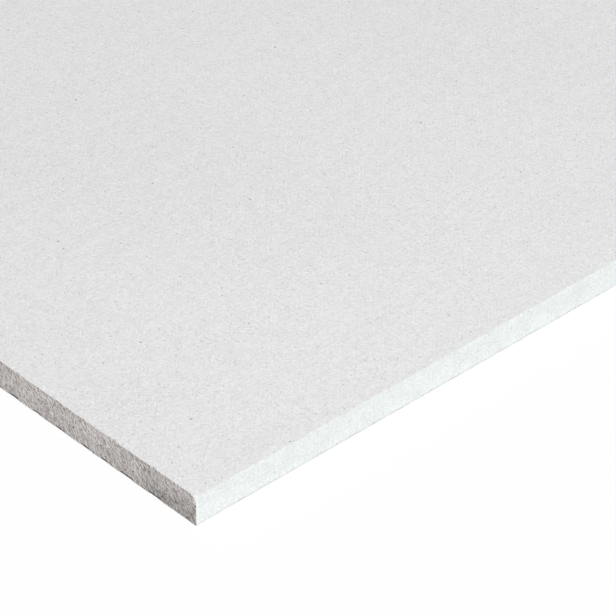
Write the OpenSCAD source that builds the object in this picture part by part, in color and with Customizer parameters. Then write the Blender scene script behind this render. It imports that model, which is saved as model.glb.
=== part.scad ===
// Paperless drywall sheet: one pressed board of gypsum and cellulose fibre, sawn square.
// It lies flat. The origin is the middle of the underside, +X runs along the long edges,
// +Y along the cross-cut ends and +Z out of the finished face. Units are millimetres.

/* [Sheet] */
// Length, along the long edges
sheet_length = 1500; // [600:50:3000]
// Width, along the cross-cut ends
sheet_width = 1000; // [400:50:1250]
// Thickness
sheet_thickness = 12.5; // [9.5:0.5:18]

/* [Edges] */
// Chamfer that the saw and handling leave along each long arris
arris_break = 0.4; // [0.2:0.1:1.5]
// Chamfer on the four upright corners, which blunt first
corner_break = 0.8; // [0.2:0.1:3]

/* [Hidden] */
board_colour = [0.89, 0.89, 0.89];

// Rectangle centred on the origin, with each corner cut off at 45 degrees.
module clipped_rectangle(across, up, clip) {
    half_across = across / 2;
    half_up = up / 2;
    polygon([
        [half_across - clip, -half_up],
        [half_across, -half_up + clip],
        [half_across, half_up - clip],
        [half_across - clip, half_up],
        [-half_across + clip, half_up],
        [-half_across, half_up - clip],
        [-half_across, -half_up + clip],
        [-half_across + clip, -half_up],
    ]);
}

// The sheet seen from above, run up through the thickness.
module plan_prism() {
    linear_extrude(height = sheet_thickness, center = true)
        clipped_rectangle(sheet_length, sheet_width, corner_break);
}

// The section across the width, run along the length: it breaks the arrises of the long edges.
module long_edge_prism() {
    rotate([90, 0, 90])
        linear_extrude(height = sheet_length, center = true)
            clipped_rectangle(sheet_width, sheet_thickness, arris_break);
}

// The section along the length, run across the width: it breaks the arrises of the ends.
module end_prism() {
    rotate([90, 0, 0])
        linear_extrude(height = sheet_width, center = true)
            clipped_rectangle(sheet_length, sheet_thickness, arris_break);
}

// One solid board, resting on its underside.
module board() {
    color(board_colour)
        translate([0, 0, sheet_thickness / 2])
            intersection() {
                plan_prism();
                long_edge_prism();
                end_prism();
            }
}

board();
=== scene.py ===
"""The looks of a paperless drywall sheet: a pressed board of gypsum and cellulose fibre, sawn square.

The board is one closed mesh that stands for the CAD solid. Its two faces are flat, its four sawn edges are
rough, and its arrises and corners are worn and torn, all cut inwards from the solid's own box.
"""

import math

import bpy
import numpy as np
from mathutils import Matrix, Vector, noise


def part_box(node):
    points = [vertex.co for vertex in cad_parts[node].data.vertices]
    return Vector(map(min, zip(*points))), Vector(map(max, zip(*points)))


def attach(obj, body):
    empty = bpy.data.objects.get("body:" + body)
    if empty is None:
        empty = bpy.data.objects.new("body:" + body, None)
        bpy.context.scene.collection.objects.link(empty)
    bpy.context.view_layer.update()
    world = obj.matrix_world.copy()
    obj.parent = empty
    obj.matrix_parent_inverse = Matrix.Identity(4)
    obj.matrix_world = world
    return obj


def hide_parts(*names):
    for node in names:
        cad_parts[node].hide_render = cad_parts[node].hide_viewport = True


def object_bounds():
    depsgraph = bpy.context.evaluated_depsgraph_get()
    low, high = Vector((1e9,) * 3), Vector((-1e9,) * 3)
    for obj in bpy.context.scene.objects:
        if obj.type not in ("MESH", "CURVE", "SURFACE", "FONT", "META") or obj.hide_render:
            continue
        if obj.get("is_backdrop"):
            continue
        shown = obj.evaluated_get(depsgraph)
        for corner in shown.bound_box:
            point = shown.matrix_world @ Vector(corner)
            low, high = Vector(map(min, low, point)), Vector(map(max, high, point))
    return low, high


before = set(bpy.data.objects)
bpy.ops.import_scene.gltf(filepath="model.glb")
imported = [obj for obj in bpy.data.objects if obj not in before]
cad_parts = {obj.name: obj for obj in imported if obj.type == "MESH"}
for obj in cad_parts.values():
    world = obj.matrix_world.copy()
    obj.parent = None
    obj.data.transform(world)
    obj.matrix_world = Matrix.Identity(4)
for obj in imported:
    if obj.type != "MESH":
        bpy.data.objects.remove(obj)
cad_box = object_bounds()
LOW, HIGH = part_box("board")
THICKNESS = HIGH.z - LOW.z
MM = 0.001

# The photograph's camera: a pinhole fitted to the board's four visible edges
PHOTO_SIDE = 616
FOCAL_PIXELS = 2412
NEAR_CORNER = Vector((LOW.x, LOW.y, HIGH.z))
NEAR_CORNER_PIXEL = (195.5, 497.6)
NEAR_CORNER_DEPTH = 0.810
CAMERA_AZIMUTH = math.radians(-43.1)
CAMERA_ELEVATION = math.radians(34.0)
SENSOR_WIDTH_MM = 36.0
CLIP_START = 0.01
CLIP_END = 100

# Light: a large soft box in front of the long edge, which grazes the near end, and an even sky
KEY_AZIMUTH = math.radians(-14)
KEY_ELEVATION = math.radians(50)
KEY_DISTANCE = 5.0
KEY_DIAMETER = 2.0
KEY_POWER = 215
SKY = 0.34
WHITE = (1, 1, 1, 1)

# Floor: half its side, its drop below the board and its own colour. What is seen of it is white, to this
# share within the first distance from the middle and wholly past the second
FLOOR_HALF = 40.0
FLOOR_DROP = 0.2 * MM
FLOOR_COLOUR = (0.95, 0.95, 0.95, 1)
WHITE_SHARE = 0.85
WHITE_FROM = 1.0
WHITE_TO = 4.0

# Columns of the mesh along a long edge and an end, and how much they crowd towards the corners
LONG_COLUMNS = 1088
END_COLUMNS = 768
CROWDING = 0.7
# The faces' rings: the inset of the first, and how often the next doubles it and halves the columns
RING_INSET = 1.4 * MM
HALVINGS = 6

# Rows of an edge: points over the upper arris and the power of its curve, rows down the sawn surface, and
# (height in millimetres, share of the deepest tear) of the groove that the saw tears along the lower arris
ARRIS_POINTS = 3
ARRIS_CURVE = 1.5
SAWN_ROWS = 12
GROOVE = ((0.85, 0.1), (0.62, 0.75), (0.44, 1.0), (0.28, 1.0), (0.14, 0.7))
GROOVE_TOP = 1.1 * MM
UNDERSIDE_TEAR = 0.4
TEAR_DEPTH = 0.65 * MM

# Pairs for an end and a long edge: the depths of the sawn surface's grain, waves and pits, the wear and the
# chips of the upper arris, the wear of the lower arris, and how strongly the saw tears it
GRAIN_DEPTH = (0.17 * MM, 0.06 * MM)
WAVE_DEPTH = (0.08 * MM, 0.05 * MM)
PIT_DEPTH = (0.21 * MM, 0.07 * MM)
UPPER_WEAR = (0.16 * MM, 0.10 * MM)
CHIP_DEPTH = (0.9 * MM, 0.3 * MM)
LOWER_WEAR = (0.14 * MM, 0.44 * MM)
TEAR_STRENGTH = (1.0, 0.4)

# Widths of the grain and the waves, and the pits: their spacing, how many of the places hold one, and a
# pit's radius as a share of the spacing
GRAIN_SIZE = 1.3 * MM
WAVE_SIZE = 9 * MM
PIT_SPACING = 2.6 * MM
PIT_SHARE = 0.6
PIT_RADIUS = 0.42
# Widths of the unevenness along the upper arris, along the lower one, inwards and upwards, and in a tear
UPPER_RIPPLE = 1.4 * MM
LOWER_RIPPLE_IN = 2.2 * MM
LOWER_RIPPLE_UP = 6 * MM
TEAR_RIPPLE = 1.1 * MM

# Chips and tears: least and greatest gap, length and strength, and how gently one starts and stops
CHIP_GAPS = (3 * MM, 26 * MM)
CHIP_LENGTHS = (1.5 * MM, 5 * MM)
TEAR_GAPS = (1.5 * MM, 9 * MM)
TEAR_LENGTHS = (4 * MM, 10 * MM)
STRENGTHS = (0.6, 1.0)
STARTS_OVER = 1.5 * MM
STOPS_OVER = 2.5 * MM

# Corners: least and greatest radius at the face and at the underside, the near corner's own two, the depth
# and reach of the wear there, and how far from a corner the tears begin
UPPER_RADII = (0.7 * MM, 1.6 * MM)
LOWER_RADII = (0.5 * MM, 1.1 * MM)
NEAR_UPPER_RADIUS = 1.8 * MM
NEAR_LOWER_RADIUS = 0.4 * MM
KNOCK_DEPTH = 0.8 * MM
KNOCK_REACH = 3.5 * MM
UNTORN = 14 * MM

CORNER_SEED = 5
TEAR_SEED = 11
CHIP_SEED = 23

# The regions of the mesh, sides first and in the order of the columns, and the material of each
FRONT, RIGHT, BACK, LEFT, TOP, UNDERSIDE = range(6)
FACE, LONG_EDGE, END = range(3)
MATERIAL_OF = {FRONT: LONG_EDGE, RIGHT: END, BACK: LONG_EDGE, LEFT: END, TOP: FACE, UNDERSIDE: FACE}
# How much of the height of the UV map each region takes, and the gap beside it
MAP_HEIGHT = {FRONT: 0.03, RIGHT: 0.03, BACK: 0.03, LEFT: 0.03, TOP: 0.53, UNDERSIDE: 0.30}
MAP_GAP = 0.005

# Colours of each surface and of what lies in it
FACE_WARM = (0.791, 0.789, 0.790)
FACE_COOL = (0.786, 0.784, 0.798)
FACE_PALE_FIBRE = (0.95, 0.95, 0.95)
FACE_DARK_FIBRE = (0.52, 0.51, 0.51)
FACE_SPECK = (0.35, 0.33, 0.32)
FACE_GRIT = (0.25, 0.24, 0.23)
# The long edge's green-grey ground and the end's warm grey one are partly the board's own colour and partly
# painted light: the edges are one material, and part of their difference in tint stands in for cooler light
# on the long edge and warmer light on the end
EDGE_GROUND = (0.704, 0.740, 0.730)
EDGE_PALE_FIBRE = (0.86, 0.88, 0.87)
EDGE_DARK_FIBRE = (0.52, 0.53, 0.52)
EDGE_SPECK = (0.35, 0.34, 0.33)
# Painted highlight on the long edge, where its corners catch the light
EDGE_PAINTED_HIGHLIGHT = (0.90, 0.90, 0.90)
# Painted shade along the long edge's foot and in its tears
EDGE_PAINTED_SHADE = (0.45, 0.44, 0.43)
# The end's warm tint is partly painted light, as above
END_GROUND = (0.517, 0.483, 0.465)
END_STRAND = (0.84, 0.81, 0.79)
END_PALE_FIBRE = (0.94, 0.91, 0.89)
END_DARK_FIBRE = (0.20, 0.18, 0.17)
# Painted shade inside the end's pits
END_PIT_PAINTED_SHADE = (0.13, 0.12, 0.11)
# Painted highlight at the head of the end's upright corners
END_PAINTED_HIGHLIGHT = (0.80, 0.78, 0.76)
# Painted shade in the tears along the end's foot
END_TEAR_PAINTED_SHADE = (0.07, 0.07, 0.07)
# The way that the saw drags the end's fibres, along it and up
DRAG = (0.50, 0.60, 0)


# The board's mesh


def crowded(count):
    """Shares of a side from 0 up to, but not including, 1, closest together at its two ends."""
    even = np.arange(count) / count
    return even - CROWDING * np.sin(2 * np.pi * even) / (2 * np.pi)


class Columns:
    """The mesh's columns, once round the board and counter-clockwise from above, from the near corner."""

    def __init__(self):
        corners = np.array([(LOW.x, LOW.y), (HIGH.x, LOW.y), (HIGH.x, HIGH.y), (LOW.x, HIGH.y)])
        reach = np.roll(corners, -1, axis=0) - corners
        lengths = np.linalg.norm(reach, axis=1)
        counts = (LONG_COLUMNS, END_COLUMNS, LONG_COLUMNS, END_COLUMNS)
        self.count = sum(counts)
        self.side = np.repeat(np.arange(4), counts)
        self.on_end = self.side % 2 == 1
        self.start = corners[self.side]
        self.length = lengths[self.side]
        self.direction = (reach / lengths[:, None])[self.side]
        self.normal = np.stack([self.direction[:, 1], -self.direction[:, 0]], 1)
        self.share = np.concatenate([crowded(count) for count in counts])
        self.along = self.share * self.length
        self.around = sum(lengths)
        self.travelled = self.along + (np.cumsum(lengths) - lengths)[self.side]
        past_middle = self.share >= 0.5
        self.corner = (self.side + past_middle) % 4
        self.from_corner = np.where(past_middle, self.length - self.along, self.along)
        self.to_corner = np.where(past_middle, 1.0, -1.0)

    def by_edge(self, pair):
        """For each column, the pair's first value on an end and its second on a long edge."""
        return np.where(self.on_end, *pair)

    def mitred(self, inset):
        """Points of the board's rectangle, drawn in by inset with square corners."""
        along = inset + self.share * (self.length - 2 * inset)
        return self.start + self.direction * along[:, None] - self.normal * inset

    def rounded(self, radius):
        """Points and outward normals of the rectangle, with each column's radius at its corner."""
        turn = np.pi / 4 * np.clip(1 - self.from_corner / radius, 0, 1)
        from_corner = np.where(turn > 0, radius * (1 - np.sin(turn)), self.from_corner)
        along = np.where(self.to_corner > 0, self.length - from_corner, from_corner)
        inward = radius * (1 - np.cos(turn))
        points = self.start + self.direction * along[:, None] - self.normal * inward[:, None]
        towards_corner = self.direction * self.to_corner[:, None]
        normals = self.normal * np.cos(turn)[:, None] + towards_corner * np.sin(turn)[:, None]
        return points, normals


def fractal(points, size, octaves=3):
    """Noise from 0 to 1 at each point, with features about size metres wide."""
    weakening, fineness = 1.0, 2.0
    values = [noise.fractal(Vector(point) / size, weakening, fineness, octaves) for point in points]
    return np.clip(0.5 + 0.5 * np.array(values), 0, 1)


def along_arris(columns, size, lane):
    """Noise from 0 to 1 along an arris. Each lane is another stretch of the same noise."""
    lane_width = 9.7 * size
    line = np.zeros((columns.count, 3))
    line[:, 0] = columns.travelled
    line[:, 1] = lane * lane_width
    return fractal(line, size)


def tears(columns, seed, gaps, lengths):
    """0 to about 1 for each column: torn or chipped stretches of an arris, with gaps between them."""
    random = np.random.default_rng(seed)
    torn = np.zeros(columns.count)
    start = 0.0
    while start < columns.around:
        start += random.uniform(*gaps)
        end = start + random.uniform(*lengths)
        strength = random.uniform(*STRENGTHS)
        rise = np.clip((columns.travelled - start) / STARTS_OVER, 0, 1)
        fall = np.clip((end - columns.travelled) / STOPS_OVER, 0, 1)
        torn = np.maximum(torn, strength * rise * fall)
        start = end
    return torn * (0.7 + 0.6 * along_arris(columns, TEAR_RIPPLE, lane=5))


def knocks(columns):
    """1 at a corner of the board, falling to 0 at the reach of a knock."""
    return np.clip(1 - columns.from_corner / KNOCK_REACH, 0, 1) ** 2


def pits(points):
    """0 to 1 at each point: round pits where a fibre or a grain tore out of the sawn surface."""
    mixing = 31.7
    depth = np.zeros(len(points))
    for i, point in enumerate(points):
        distances, centres = noise.voronoi(Vector(point) / PIT_SPACING)
        if noise.cell(centres[0] * mixing) < PIT_SHARE:
            depth[i] = max(0.0, 1 - distances[0] / PIT_RADIUS)
    return depth


def sawn_relief(columns, points):
    """How far the sawn surface lies below the solid's: grain and pits, coarser across the ends."""
    grain = columns.by_edge(GRAIN_DEPTH) * fractal(points, GRAIN_SIZE)
    waves = columns.by_edge(WAVE_DEPTH) * fractal(points, WAVE_SIZE, octaves=2)
    holes = columns.by_edge(PIT_DEPTH) * pits(points)
    return grain + waves + holes


def edge_profile(columns):
    """(inset, height, share of the relief, share of the tear) for each row, from face to underside."""
    chips = tears(columns, CHIP_SEED, CHIP_GAPS, CHIP_LENGTHS)
    worn = columns.by_edge(UPPER_WEAR) + KNOCK_DEPTH * knocks(columns)
    worn += columns.by_edge(CHIP_DEPTH) * chips
    across_face = worn * (0.5 + along_arris(columns, UPPER_RIPPLE, lane=1))
    down_edge = worn * (0.5 + along_arris(columns, UPPER_RIPPLE, lane=2))
    low_arris = columns.by_edge(LOWER_WEAR)
    low_across = low_arris * (0.5 + along_arris(columns, LOWER_RIPPLE_IN, lane=3))
    low_up = low_arris * (0.5 + along_arris(columns, LOWER_RIPPLE_UP, lane=4))
    flush = np.zeros(columns.count)
    for share in np.linspace(0, 1, ARRIS_POINTS):
        yield across_face * (1 - share) ** ARRIS_CURVE, HIGH.z - down_edge * share**ARRIS_CURVE, share, 0.0
    upper = HIGH.z - down_edge
    for share in np.arange(1, SAWN_ROWS + 1) / SAWN_ROWS:
        yield flush, upper + (LOW.z + GROOVE_TOP - upper) * share, 1.0, 0.0
    for height, share in GROOVE:
        above = flush + height * MM
        yield low_across * np.clip(1 - above / low_up, 0, 1), LOW.z + above, 1.0, share
    yield low_across, flush + LOW.z, 0.0, UNDERSIDE_TEAR


def edge_rows(columns):
    """Rows of points over the edges, and how torn each point is."""
    random = np.random.default_rng(CORNER_SEED)
    upper_radius = random.uniform(*UPPER_RADII, 4)
    lower_radius = random.uniform(*LOWER_RADII, 4)
    upper_radius[0] = NEAR_UPPER_RADIUS
    lower_radius[0] = NEAR_LOWER_RADIUS
    torn = tears(columns, TEAR_SEED, TEAR_GAPS, TEAR_LENGTHS) * columns.by_edge(TEAR_STRENGTH)
    torn *= np.clip((columns.from_corner - UNTORN) / MM, 0, 1)
    for inset, height, relief, tear in edge_profile(columns):
        up = (height - LOW.z) / THICKNESS
        radius = lower_radius[columns.corner] * (1 - up) + upper_radius[columns.corner] * up
        outline, normals = columns.rounded(radius)
        cut = inset + tear * torn * TEAR_DEPTH
        if relief > 0:
            cut = cut + relief * sawn_relief(columns, np.column_stack([outline, height]))
        yield np.column_stack([outline - normals * cut[:, None], height]), tear * torn


class MeshParts:
    """Points, each with how torn it is, and faces, each with the region it is in."""

    def __init__(self):
        self.points = []
        self.torn = []
        self.faces = []
        self.regions = []

    def add_points(self, points, torn=0.0):
        """Adds points and returns their numbers."""
        first = len(self.points)
        self.points.extend(np.asarray(points).tolist())
        self.torn.extend(np.broadcast_to(torn, len(points)).tolist())
        return np.arange(first, len(self.points))

    def add_face(self, region, *corners):
        self.faces.append([int(corner) for corner in corners])
        self.regions.append(region)

    def join_rows(self, regions, upper, lower):
        """Quads from one row round the board to the next one, further out or further down."""
        upper_next, lower_next = np.roll(upper, -1), np.roll(lower, -1)
        for i, region in enumerate(regions):
            self.add_face(region, upper[i], lower[i], lower_next[i], upper_next[i])


def level_ring(columns, inset, height, step=1):
    """Every step-th column's point on a flat face, drawn in by inset."""
    flat = columns.mitred(inset)[::step]
    return np.column_stack([flat, np.full(len(flat), height)])


def fill_face(parts, columns, ring, height, region):
    """Fills a face from its outermost ring: rings with ever fewer columns, then a plain grid."""

    def add_face(*corners):
        parts.add_face(region, *(corners if region == TOP else corners[::-1]))

    inset, step = RING_INSET, 1
    for _ in range(HALVINGS):
        inset, step = inset * 2, step * 2
        inner = parts.add_points(level_ring(columns, inset, height, step))
        for i, here in enumerate(inner):
            there = inner[(i + 1) % len(inner)]
            start, middle, end = ring[2 * i], ring[2 * i + 1], ring[(2 * i + 2) % len(ring)]
            add_face(start, middle, here)
            add_face(middle, there, here)
            add_face(middle, end, there)
        ring = inner
    wide, deep = LONG_COLUMNS // step, END_COLUMNS // step
    outline = columns.mitred(inset)[::step]
    xs, ys = outline[1:wide, 0], outline[wide + 1 : wide + deep, 1]
    grid = np.empty((deep + 1, wide + 1), int)
    grid[0, :wide] = ring[:wide]
    grid[:deep, wide] = ring[wide : wide + deep]
    grid[deep, :0:-1] = ring[wide + deep : 2 * wide + deep]
    grid[:0:-1, 0] = ring[2 * wide + deep :]
    inside = parts.add_points([(x, y, height) for y in ys for x in xs])
    grid[1:-1, 1:-1] = inside.reshape(deep - 1, wide - 1)
    for j in range(deep):
        for i in range(wide):
            add_face(grid[j, i], grid[j, i + 1], grid[j + 1, i + 1], grid[j + 1, i])


def bake_map(mesh, parts):
    """Lays the regions flat as bands of a UV map, each the map's whole width, with a gap below each."""
    heights = np.array([MAP_HEIGHT[region] for region in range(len(MAP_HEIGHT))])
    starts = np.cumsum(heights + MAP_GAP) - heights
    region = np.repeat(parts.regions, [len(face) for face in parts.faces])
    points = np.array(parts.points)[np.concatenate(parts.faces)]
    share = (points - np.array(LOW)) / np.array(HIGH - LOW)
    across = np.where(np.isin(region, (LEFT, RIGHT)), share[:, 1], share[:, 0])
    up = np.where(np.isin(region, (TOP, UNDERSIDE)), share[:, 1], share[:, 2])
    places = np.column_stack([MAP_GAP + (1 - 2 * MAP_GAP) * across, starts[region] + heights[region] * up])
    mesh.uv_layers.new(name="OFBake").data.foreach_set("uv", places.ravel())


def board_mesh():
    """One closed mesh: the two faces and, between them, the rows of the four edges."""
    columns = Columns()
    parts = MeshParts()
    top_ring = parts.add_points(level_ring(columns, RING_INSET, HIGH.z))
    rows = [parts.add_points(points, torn) for points, torn in edge_rows(columns)]
    under_ring = parts.add_points(level_ring(columns, RING_INSET, LOW.z))
    parts.join_rows([TOP] * columns.count, top_ring, rows[0])
    for upper, lower in zip(rows, rows[1:]):
        parts.join_rows(columns.side, upper, lower)
    parts.join_rows([UNDERSIDE] * columns.count, rows[-1], under_ring)
    fill_face(parts, columns, top_ring, HIGH.z, TOP)
    fill_face(parts, columns, under_ring, LOW.z, UNDERSIDE)
    mesh = bpy.data.meshes.new("gypsum_board")
    mesh.from_pydata(parts.points, [], parts.faces)
    mesh.polygons.foreach_set("material_index", [MATERIAL_OF[region] for region in parts.regions])
    mesh.polygons.foreach_set("use_smooth", [region not in (TOP, UNDERSIDE) for region in parts.regions])
    mesh.attributes.new("torn", "FLOAT", "POINT").data.foreach_set("value", parts.torn)
    bake_map(mesh, parts)
    mesh.validate()
    mesh.update()
    return mesh


# Materials, with sizes in millimetres


class Graph:
    """The nodes of a material or a world, made one at a time."""

    def __init__(self, owner):
        owner.use_nodes = True
        self.owner = owner
        self.tree = owner.node_tree
        self.tree.nodes.clear()

    def node(self, kind, inputs=None, **settings):
        """A new node's outputs. Each input is a value or another node's output."""
        made = self.tree.nodes.new(kind)
        for key, value in settings.items():
            setattr(made, key, value)
        for key, value in (inputs or {}).items():
            if isinstance(value, bpy.types.NodeSocket):
                self.tree.links.new(value, made.inputs[key])
            else:
                made.inputs[key].default_value = value
        return made.outputs

    def maths(self, operation, a, b=0.0):
        return self.node("ShaderNodeMath", {0: a, 1: b}, operation=operation)[0]

    def vector(self, operation, a, b=(0, 0, 0), output="Vector"):
        return self.node("ShaderNodeVectorMath", {0: a, 1: b}, operation=operation)[output]

    def scaled(self, vector, by):
        return self.node("ShaderNodeVectorMath", {0: vector, "Scale": by}, operation="SCALE")["Vector"]

    def most(self, a, b):
        return self.maths("MAXIMUM", a, b)

    def ramp(self, value, zero, one):
        """0 at zero and 1 at one, smoothly between; zero may be the larger."""
        inputs = {"Value": value, "From Min": zero, "From Max": one}
        return self.node("ShaderNodeMapRange", inputs, interpolation_type="SMOOTHSTEP")[0]

    def blend(self, share, a, b):
        return self.node("ShaderNodeMix", {0: share, 6: a, 7: b}, data_type="RGBA")[2]

    def noise(self, at, size, detail=2.0, output="Fac"):
        inputs = {"Vector": at, "Scale": 1 / size, "Detail": detail, "Roughness": 0.6}
        return self.node("ShaderNodeTexNoise", inputs)[output]

    def cells(self, at, spacing):
        inputs = {"Vector": at, "Scale": 1 / spacing}
        return self.node("ShaderNodeTexVoronoi", inputs, voronoi_dimensions="2D")

    def torn(self):
        """How torn the mesh is, from 0 to about 1."""
        return self.node("ShaderNodeAttribute", attribute_name="torn")["Fac"]

    def varied(self, colour, value, amount):
        """The colour times 1 - amount where the value is 0, rising to 1 + amount where it is 1."""
        swing = self.maths("MULTIPLY", self.maths("SUBTRACT", value, 0.5), 2 * amount)
        return self.scaled(colour, self.maths("ADD", swing, 1.0))

    def laid_over(self, colour, mask, share, other):
        """The colour with another over it, where the mask is 1, to this share."""
        return self.blend(self.maths("MULTIPLY", mask, share), colour, (*other, 1))

    def seen(self):
        """1 for a ray from the camera, a reflection or a see-through surface, and 0 for light."""
        path = self.node("ShaderNodeLightPath")
        through = self.most(path["Is Glossy Ray"], path["Is Transmission Ray"])
        return self.most(path["Is Camera Ray"], through)


def in_millimetres(graph, first, second):
    """Places in space, and the same flattened to the two named axes of a surface, both in millimetres."""
    at = graph.scaled(graph.node("ShaderNodeTexCoord")["Object"], 1 / MM)
    axes = graph.node("ShaderNodeSeparateXYZ", {0: at})
    return at, graph.node("ShaderNodeCombineXYZ", {"X": axes[first], "Y": axes[second]})[0]


def warped(graph, at, size, amount):
    """Coordinates pushed about by noise, so that straight things bend."""
    drawn = graph.noise(at, size, detail=4.0, output="Color")
    push = graph.vector("SUBTRACT", drawn, (0.5, 0.5, 0.5))
    return graph.vector("ADD", at, graph.scaled(push, 2 * amount))


def drawn_out(graph, flat, way, stretch):
    """Coordinates turned to run along a way over the surface, for noise that is drawn out along it."""
    way = Vector(way).normalized()
    along = graph.vector("DOT_PRODUCT", flat, tuple(way / stretch), "Value")
    across = graph.vector("DOT_PRODUCT", flat, (-way.y, way.x, 0), "Value")
    return graph.node("ShaderNodeCombineXYZ", {"X": along, "Y": across})[0]


def fibres(graph, flat, spacing, width, lie=(1, 1, 0), lean=(0, 0, 0)):
    """0 to 1: short fibres of varied strength, one in each cell of a scatter over the surface.

    lie stretches the directions that they are drawn from, and lean tilts them all one way.
    """
    cells = graph.cells(flat, spacing)
    away = graph.vector("SUBTRACT", flat, cells["Position"])
    way = graph.vector("SUBTRACT", cells["Color"], (0.5, 0.5, 0.5))
    way = graph.vector("ADD", graph.vector("MULTIPLY", way, lie), lean)
    way = graph.vector("NORMALIZE", way)
    along = graph.vector("DOT_PRODUCT", away, way, "Value")
    aside = graph.vector("SUBTRACT", away, graph.scaled(way, along))
    across = graph.vector("LENGTH", aside, output="Value")
    inside = graph.ramp(across, 0.6 * width, 0.3 * width)
    reached = graph.ramp(graph.maths("ABSOLUTE", along), 0.75 * spacing, 0.4 * spacing)
    draw = graph.node("ShaderNodeSeparateColor", {0: cells["Color"]})[2]
    return graph.maths("MULTIPLY", graph.maths("MULTIPLY", inside, reached), draw)


def specks(graph, flat, spacing, largest, share):
    """0 to 1: round specks. That share of the cells holds one, of any size up to the largest radius."""
    smallest, core = 0.0001, 0.4
    cells = graph.cells(flat, spacing)
    draw = graph.node("ShaderNodeSeparateColor", {0: cells["Color"]})[0]
    radius = graph.maths("MULTIPLY", graph.maths("SUBTRACT", draw, 1 - share), largest / share / spacing)
    radius = graph.most(radius, smallest)
    return graph.ramp(cells["Distance"], radius, graph.maths("MULTIPLY", radius, core))


def bumps(graph, grain, holes, pale, raised):
    """The height of the surface: grain, with holes sunk in it and the pale fibres raised to this share."""
    return graph.maths("ADD", graph.maths("SUBTRACT", grain, holes), graph.maths("MULTIPLY", pale, raised))


def finish_surface(graph, colour, height, depth, rough):
    """Ends a material: a matt surface of this colour, with height as bump of this depth."""
    bump = graph.node("ShaderNodeBump", {"Height": height, "Distance": depth, "Strength": 1.0})
    inputs = {"Base Color": colour, "Normal": bump[0], "Roughness": rough, "Specular IOR Level": 0.25}
    shader = graph.node("ShaderNodeBsdfPrincipled", inputs)
    graph.node("ShaderNodeOutputMaterial", {"Surface": shader[0]})
    return graph.owner


def face_material():
    """The pressed and sanded face: pale grey, with fine grain, fibres and scattered dark specks."""
    graph = Graph(bpy.data.materials.new("pressed_face"))
    at, flat = in_millimetres(graph, "X", "Y")
    bent = warped(graph, flat, size=1.6, amount=0.3)
    cloud = graph.ramp(graph.noise(at, size=110), zero=0.35, one=0.65)
    sanded = graph.noise(drawn_out(graph, flat, way=(1, 0, 0), stretch=50), size=6)
    grain = graph.noise(at, size=1.3, detail=3.0)
    pale = graph.most(
        fibres(graph, bent, spacing=1.9, width=0.44),
        fibres(graph, bent, spacing=2.6, width=0.48),
    )
    dark = fibres(graph, bent, spacing=2.2, width=0.42)
    dots = specks(graph, bent, spacing=3.2, largest=0.48, share=0.45)
    grit = specks(graph, bent, spacing=19, largest=0.75, share=0.5)
    colour = graph.blend(cloud, (*FACE_WARM, 1), (*FACE_COOL, 1))
    colour = graph.varied(colour, sanded, amount=0.03)
    colour = graph.varied(colour, graph.noise(at, size=260), amount=0.05)
    colour = graph.varied(colour, graph.noise(at, size=7), amount=0.04)
    colour = graph.varied(colour, grain, amount=0.12)
    colour = graph.laid_over(colour, pale, share=0.70, other=FACE_PALE_FIBRE)
    colour = graph.laid_over(colour, dark, share=0.45, other=FACE_DARK_FIBRE)
    colour = graph.laid_over(colour, dots, share=0.57, other=FACE_SPECK)
    colour = graph.laid_over(colour, grit, share=0.60, other=FACE_GRIT)
    height = bumps(graph, grain, dots, pale, raised=0.3)
    return finish_surface(graph, colour, height, depth=0.06 * MM, rough=0.9)


def long_edge_material():
    """The long edge: as pale and almost as smooth as the face, with a painted highlight at its corners and
    painted shade below.
    """
    graph = Graph(bpy.data.materials.new("long_edge"))
    at, flat = in_millimetres(graph, "X", "Z")
    bent = warped(graph, flat, size=1.6, amount=0.3)
    place = graph.node("ShaderNodeSeparateXYZ", {0: graph.vector("ABSOLUTE", bent)})
    from_corner = graph.maths("SUBTRACT", HIGH.x / MM, place["X"])
    grain = graph.noise(at, size=1.0, detail=3.0)
    pale = graph.most(
        fibres(graph, bent, spacing=2.0, width=0.40),
        fibres(graph, bent, spacing=2.8, width=0.44),
    )
    dark = fibres(graph, bent, spacing=2.3, width=0.42)
    dots = specks(graph, bent, spacing=6.0, largest=0.50, share=0.4)
    # Where the corners get a painted highlight
    painted_highlight = graph.ramp(from_corner, zero=1.6, one=0.8)
    # Where the foot gets painted shade, darkest at the underside
    painted_foot_shade = graph.ramp(place["Y"], zero=1.5, one=0.6)
    colour = graph.varied(EDGE_GROUND, graph.noise(at, size=10), amount=0.12)
    colour = graph.varied(colour, grain, amount=0.14)
    colour = graph.laid_over(colour, pale, share=0.7, other=EDGE_PALE_FIBRE)
    colour = graph.laid_over(colour, dark, share=0.5, other=EDGE_DARK_FIBRE)
    colour = graph.laid_over(colour, dots, share=0.6, other=EDGE_SPECK)
    # Painted highlight at the corners
    colour = graph.laid_over(colour, painted_highlight, share=0.3, other=EDGE_PAINTED_HIGHLIGHT)
    # Painted shade along the foot and in the tears
    colour = graph.laid_over(colour, painted_foot_shade, share=0.2, other=EDGE_PAINTED_SHADE)
    colour = graph.laid_over(colour, graph.torn(), share=1.0, other=EDGE_PAINTED_SHADE)
    height = bumps(graph, grain, dots, pale, raised=0.3)
    return finish_surface(graph, colour, height, depth=0.08 * MM, rough=0.9)


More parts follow.
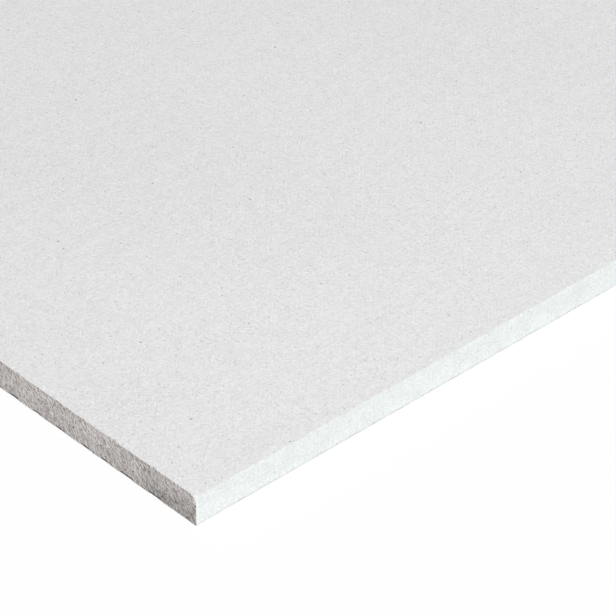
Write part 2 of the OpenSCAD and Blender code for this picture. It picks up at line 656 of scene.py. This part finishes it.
def end_material():
    """The cross-cut end: warm grey and coarse, with pale fibres that the saw dragged over pits, which are
    painted dark as their shade.
    """
    graph = Graph(bpy.data.materials.new("sawn_end"))
    at, flat = in_millimetres(graph, "Y", "Z")
    bent = warped(graph, flat, size=1.8, amount=0.5)

    def dragged(spacing, width):
        return fibres(graph, bent, spacing, width, lie=(0.9, 1.0, 0), lean=DRAG)

    # Distances from the nearer upright corner's head, for a painted highlight, and from its foot with heights
    # drawn out, for painted shade
    place = graph.vector("ABSOLUTE", bent)
    from_head = graph.vector("DISTANCE", place, (HIGH.y / MM, HIGH.z / MM, 0), "Value")
    tall = graph.vector("MULTIPLY", place, (1, 3.5, 0))
    from_foot = graph.vector("DISTANCE", tall, (HIGH.y / MM, 0, 0), "Value")
    up = graph.node("ShaderNodeSeparateXYZ", {0: at})["Z"]
    grain = graph.noise(drawn_out(graph, bent, DRAG, stretch=1.9), size=0.55, detail=3.0)
    strands = dragged(spacing=4.6, width=1.3)
    pale = graph.most(dragged(spacing=1.5, width=0.50), dragged(spacing=2.4, width=0.46))
    dark = graph.most(dragged(spacing=1.6, width=0.52), dragged(spacing=2.7, width=0.60))
    holes = specks(graph, bent, spacing=2.2, largest=0.55, share=0.5)
    # Painted shade in a tear, with an outline that the grain and the fibres make ragged
    tear_weight, fibre_weight = 1.6, 0.4
    ragged = graph.maths("ADD", graph.maths("MULTIPLY", graph.torn(), tear_weight), grain)
    ragged = graph.maths("SUBTRACT", ragged, graph.maths("MULTIPLY", pale, fibre_weight))
    painted_tear_shade = graph.ramp(ragged, zero=0.75, one=1.15)
    painted_highlight = graph.ramp(from_head, zero=2.4, one=1.0)
    colour = graph.varied(END_GROUND, graph.noise(at, size=8, detail=0.5), amount=0.20)
    colour = graph.varied(colour, grain, amount=1.10)
    colour = graph.laid_over(colour, strands, share=0.28, other=END_STRAND)
    colour = graph.laid_over(colour, dark, share=0.90, other=END_DARK_FIBRE)
    colour = graph.laid_over(colour, pale, share=0.90, other=END_PALE_FIBRE)
    # The pits, painted dark as their shade
    colour = graph.laid_over(colour, holes, share=0.90, other=END_PIT_PAINTED_SHADE)
    # Painted shade: darker towards the foot of the upright corner and towards the underside
    colour = graph.varied(colour, graph.ramp(from_foot, zero=0, one=100), amount=0.04)
    colour = graph.varied(colour, graph.ramp(from_foot, zero=20, one=40), amount=0.12)
    colour = graph.varied(colour, graph.ramp(up, zero=2, one=9), amount=0.04)
    # Painted highlight at the head of the upright corners
    colour = graph.laid_over(colour, painted_highlight, share=0.8, other=END_PAINTED_HIGHLIGHT)
    # Painted shade in the tears
    colour = graph.laid_over(colour, painted_tear_shade, share=0.9, other=END_TEAR_PAINTED_SHADE)
    height = bumps(graph, grain, holes, pale, raised=1.0)
    return finish_surface(graph, colour, height, depth=0.25 * MM, rough=0.95)


# The stage


def white_floor():
    """A pale floor that the camera sees as white, with a faint shadow where the board is near."""
    graph = Graph(bpy.data.materials.new("floor"))
    away = graph.vector("LENGTH", graph.node("ShaderNodeTexCoord")["Object"], output="Value")
    inputs = {"Value": away, "From Min": WHITE_FROM, "From Max": WHITE_TO, "To Min": WHITE_SHARE, "To Max": 1}
    fade = graph.node("ShaderNodeMapRange", inputs)[0]
    share = graph.maths("MULTIPLY", graph.seen(), fade)
    plain = graph.node("ShaderNodeBsdfDiffuse", {"Color": FLOOR_COLOUR})
    white = graph.node("ShaderNodeEmission", {"Color": WHITE, "Strength": 1.0})
    mixed = graph.node("ShaderNodeMixShader", {0: share, 1: plain[0], 2: white[0]})
    graph.node("ShaderNodeOutputMaterial", {"Surface": mixed[0]})
    half, height = FLOOR_HALF, LOW.z - FLOOR_DROP
    corners = [(-half, -half, height), (half, -half, height), (half, half, height), (-half, half, height)]
    mesh = bpy.data.meshes.new("floor")
    mesh.from_pydata(corners, [], [(0, 1, 2, 3)])
    mesh.materials.append(graph.owner)
    floor = bpy.data.objects.new("floor", mesh)
    bpy.context.collection.objects.link(floor)
    floor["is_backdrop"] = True


def even_sky():
    """A world that lights all round at one level, and is white where it is seen."""
    world = bpy.data.worlds.new("studio")
    bpy.context.scene.world = world
    graph = Graph(world)
    fill = graph.node("ShaderNodeBackground", {"Color": WHITE, "Strength": SKY})
    white = graph.node("ShaderNodeBackground", {"Color": WHITE, "Strength": 1.0})
    mixed = graph.node("ShaderNodeMixShader", {0: graph.seen(), 1: fill[0], 2: white[0]})
    graph.node("ShaderNodeOutputWorld", {"Surface": mixed[0]})


def direction(azimuth, elevation):
    """The way from the board to a lamp or camera at this azimuth and elevation."""
    flat = math.cos(elevation)
    return Vector((math.sin(azimuth) * flat, -math.cos(azimuth) * flat, math.sin(elevation)))


def key_light():
    """A large round soft box that looks at the near corner."""
    back = direction(KEY_AZIMUTH, KEY_ELEVATION)
    data = bpy.data.lights.new("key", "AREA")
    data.shape = "DISK"
    data.size = KEY_DIAMETER
    data.energy = KEY_POWER
    lamp = bpy.data.objects.new("key", data)
    lamp.location = NEAR_CORNER + back * KEY_DISTANCE
    lamp.rotation_euler = back.to_track_quat("Z", "Y").to_euler()
    bpy.context.collection.objects.link(lamp)


def photo_camera():
    """Puts the near corner at its pixel, seen from the photograph's direction and distance."""
    back = direction(CAMERA_AZIMUTH, CAMERA_ELEVATION)
    right = Vector((math.cos(CAMERA_AZIMUTH), math.sin(CAMERA_AZIMUTH), 0))
    up = back.cross(right)
    aside = (NEAR_CORNER_PIXEL[0] - PHOTO_SIDE / 2) / FOCAL_PIXELS
    below = (NEAR_CORNER_PIXEL[1] - PHOTO_SIDE / 2) / FOCAL_PIXELS
    eye = NEAR_CORNER + (back - right * aside + up * below) * NEAR_CORNER_DEPTH
    data = bpy.data.cameras.new("photo")
    data.sensor_width = SENSOR_WIDTH_MM
    data.lens = FOCAL_PIXELS / PHOTO_SIDE * SENSOR_WIDTH_MM
    data.clip_start = CLIP_START
    data.clip_end = CLIP_END
    camera = bpy.data.objects.new("photo", data)
    camera.matrix_world = Matrix.Translation(eye) @ Matrix((right, up, back)).transposed().to_4x4()
    bpy.context.collection.objects.link(camera)
    bpy.context.scene.camera = camera


photo_camera()
key_light()
even_sky()
white_floor()
bpy.context.scene.view_settings.view_transform = "Standard"

board = bpy.data.objects.new("gypsum_board", board_mesh())
for material in (face_material(), long_edge_material(), end_material()):
    board.data.materials.append(material)
bpy.context.collection.objects.link(board)
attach(board, "root")
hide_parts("board")

boxes = {"cad": cad_box, "visual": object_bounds()}
{name: [list(corner) for corner in box] for name, box in boxes.items()}
